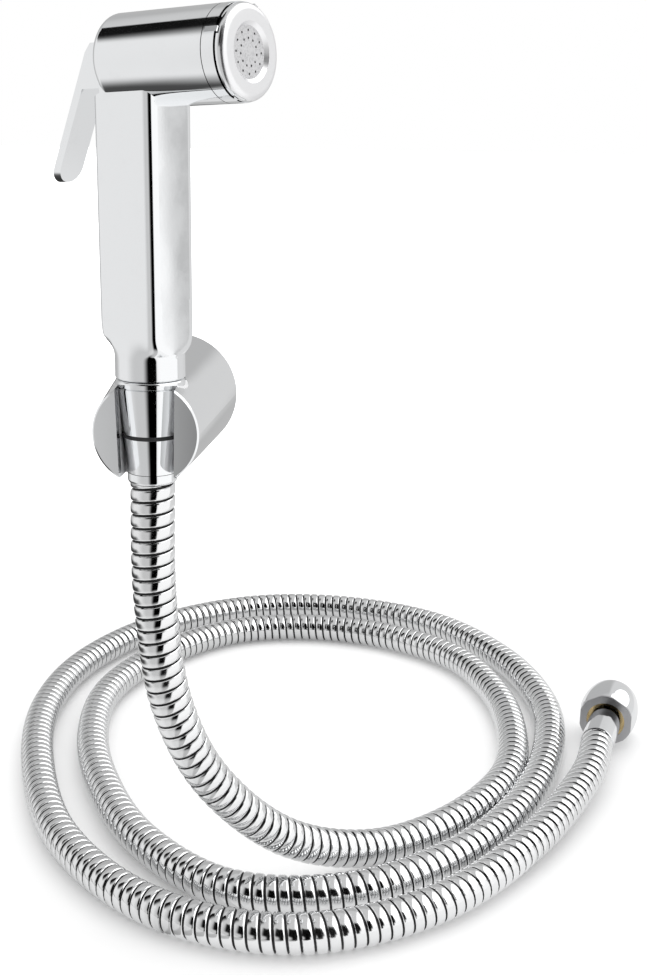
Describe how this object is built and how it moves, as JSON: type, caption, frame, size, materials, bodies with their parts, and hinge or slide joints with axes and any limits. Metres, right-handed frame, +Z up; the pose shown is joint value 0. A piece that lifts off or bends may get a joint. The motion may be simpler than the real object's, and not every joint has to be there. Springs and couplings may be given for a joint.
{
  "type": "handheld bidet shower",
  "caption": "Handheld bidet shower with a trigger lever, resting in a tapered wall holder, with a metal hose laid in loops and ending in a domed nut.",
  "frame": {"origin": "middle of the holder's wall face, on the holder's axis", "axes": "+Z up, the holder reaches out from the wall along -Y, +X to the right as seen by someone facing the wall"},
  "size_m": [0.3234, 0.3976, 0.345],
  "materials": {
    "chrome": "polished",
    "hose_metal": "polished strip",
    "steel": "brushed",
    "dark_steel": "blackened",
    "brass": "turned",
    "rubber": "matt",
    "spray_face": "fine speckle"
  },
  "bodies": {
    "base": {"holder_body": "chrome", "wall_plate": "steel", "grub_screw": "dark_steel", "handset_body": "chrome", "nozzle_collar": "chrome", "face_cap": "chrome", "spray_plate": "spray_face", "spray_gasket": "rubber", "plate_retainer": "brass", "valve_gland": "brass", "stem_ring": "rubber", "seat_ring": "brass", "valve_spring": "steel", "spring_plate": "brass", "lever_pin": "steel", "cone_nut": "chrome", "grip_ring": "rubber", "near_washer": "rubber", "near_tail": "brass", "near_ferrule": "chrome", "hose": "hose_metal", "far_ferrule": "chrome", "far_tail": "brass", "far_washer": "rubber"},
    "lever": {"lever": "chrome"},
    "stem": {"valve_stem": "steel", "valve_disc": "rubber"},
    "far_nut": {"far_nut": "chrome"}
  },
  "joints": [
    {"name": "lever_hinge", "type": "hinge", "parent": "base", "child": "lever", "pos_m": [-0.00709, -0.06065, 0.12661], "axis": [-0.5225, -0.8526, 0], "range_deg": [0, 16], "stiffness_Nm_per_rad": 0.5, "springref_deg": -20.05},
    {"name": "stem_slide", "type": "slide", "parent": "base", "child": "stem", "axis": [0.8521, -0.5222, 0.0349], "range_m": [0, 0.00245], "deforming": ["valve_spring"]},
    {"name": "far_nut_spin", "type": "hinge", "parent": "base", "child": "far_nut", "pos_m": [0.1948, 0.0855, -0.1902], "axis": [0.3123, 0.95, 0], "continuous": true}
  ],
  "couplings": [
    {"joint": "stem_slide", "follows": "lever_hinge", "m_per_rad": 0.0086}
  ]
}
